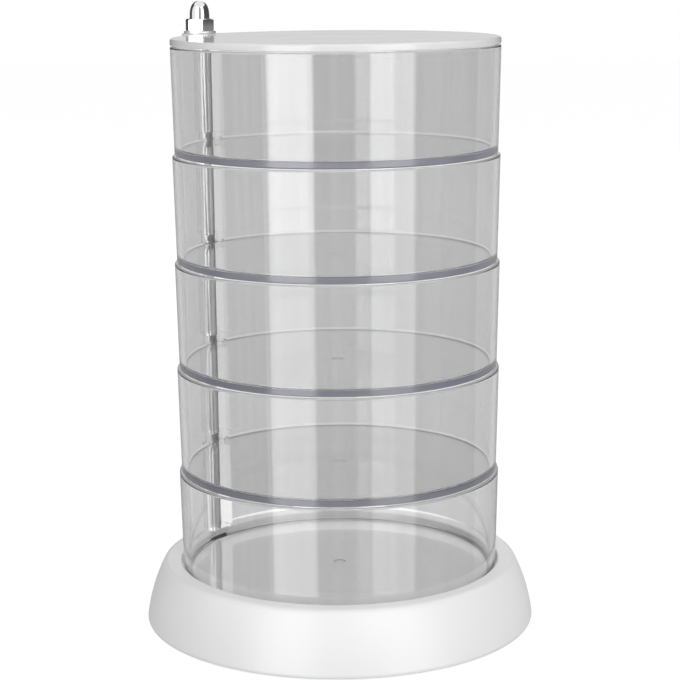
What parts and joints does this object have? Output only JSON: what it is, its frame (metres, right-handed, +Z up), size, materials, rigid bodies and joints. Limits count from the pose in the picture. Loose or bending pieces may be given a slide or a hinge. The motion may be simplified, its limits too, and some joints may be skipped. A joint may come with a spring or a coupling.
{
  "type": "hair accessory organizer",
  "caption": "Tower of clear round trays that swing out on a steel rod, with a white lid and a flared base, for hair ties, clips and pins.",
  "frame": {"origin": "on the floor, on the centre line of the round base", "axes": "+Z up, +X to the right in the picture, +Y away from the camera; the rod stands at the back left"},
  "size_m": [0.15, 0.15, 0.2376],
  "materials": {
    "white_shell": "glossy white injection-moulded plastic",
    "white_cover": "satin white moulded plastic",
    "white_lid": "glossy white injection-moulded plastic",
    "clear_plastic": "clear polished polystyrene",
    "clear_sleeve": "clear smooth plastic",
    "pad_rubber": "soft grey non-slip pad",
    "rod_steel": "smooth drawn steel",
    "screw_steel": "zinc-plated steel",
    "chrome_cap": "polished chrome plate"
  },
  "bodies": {
    "base": {"base_shell": "white_shell", "base_plate": "white_cover", "base_screws": "screw_steel", "foot_1": "pad_rubber", "foot_2": "pad_rubber", "foot_3": "pad_rubber", "foot_4": "pad_rubber", "tie_rod": "rod_steel", "anchor_washer": "screw_steel", "anchor_nut": "screw_steel", "tray_5": "clear_plastic", "spacer_4": "clear_sleeve", "spacer_3": "clear_sleeve", "spacer_2": "clear_sleeve", "spacer_1": "clear_sleeve", "lid_washer": "clear_sleeve", "cap_washer": "chrome_cap", "cap_nut": "chrome_cap"},
    "tray_4": {"tray_4": "clear_plastic"},
    "tray_3": {"tray_3": "clear_plastic"},
    "tray_2": {"tray_2": "clear_plastic"},
    "tray_1": {"tray_1": "clear_plastic"},
    "lid": {"lid": "white_lid"}
  },
  "joints": [
    {"name": "tray_4_swivel", "type": "hinge", "parent": "base", "child": "tray_4", "pos_m": [-0.05299, 0.0385, 0.081], "axis": [0, 0, 1], "continuous": true},
    {"name": "tray_3_swivel", "type": "hinge", "parent": "base", "child": "tray_3", "pos_m": [-0.05299, 0.0385, 0.121], "axis": [0, 0, 1], "continuous": true},
    {"name": "tray_2_swivel", "type": "hinge", "parent": "base", "child": "tray_2", "pos_m": [-0.05299, 0.0385, 0.162], "axis": [0, 0, 1], "continuous": true},
    {"name": "tray_1_swivel", "type": "hinge", "parent": "base", "child": "tray_1", "pos_m": [-0.05299, 0.0385, 0.202], "axis": [0, 0, 1], "continuous": true},
    {"name": "lid_swivel", "type": "hinge", "parent": "base", "child": "lid", "pos_m": [-0.05299, 0.0385, 0.22375], "axis": [0, 0, 1], "continuous": true}
  ]
}
